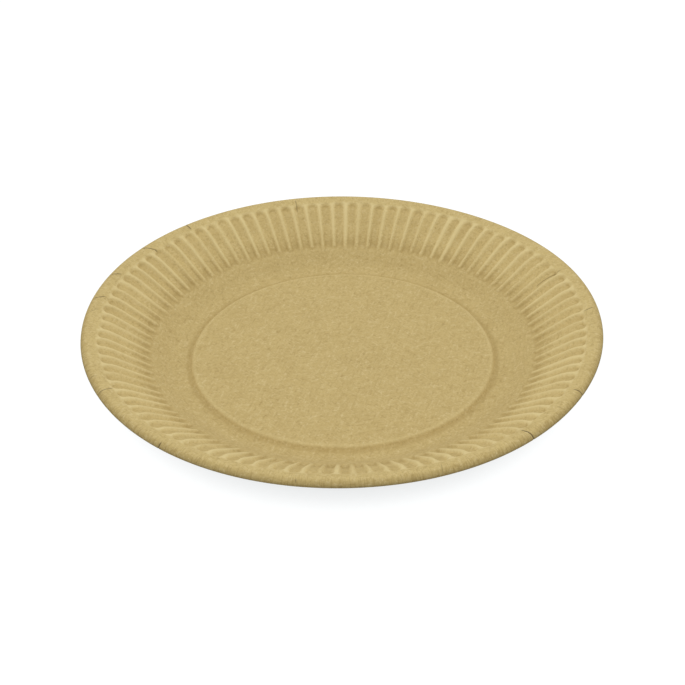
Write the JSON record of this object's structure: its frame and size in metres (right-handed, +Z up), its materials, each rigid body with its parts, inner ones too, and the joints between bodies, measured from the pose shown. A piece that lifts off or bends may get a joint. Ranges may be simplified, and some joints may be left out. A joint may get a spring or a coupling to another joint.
{
  "type": "paper plate",
  "caption": "Round pressed paperboard plate with a raised centre, a fluted sloping wall and a smooth rim rolled down at its edge.",
  "frame": {"origin": "centre of the plate, on the plane of the flat ring that it rests on", "axes": "+Z up along the plate's axis, towards its open side"},
  "size_m": [0.2298, 0.2298, 0.0207],
  "materials": {
    "kraft_board": "matt uncoated brown paperboard with fine fibres"
  },
  "bodies": {
    "root": {"plate": "kraft_board"}
  },
  "joints": []
}
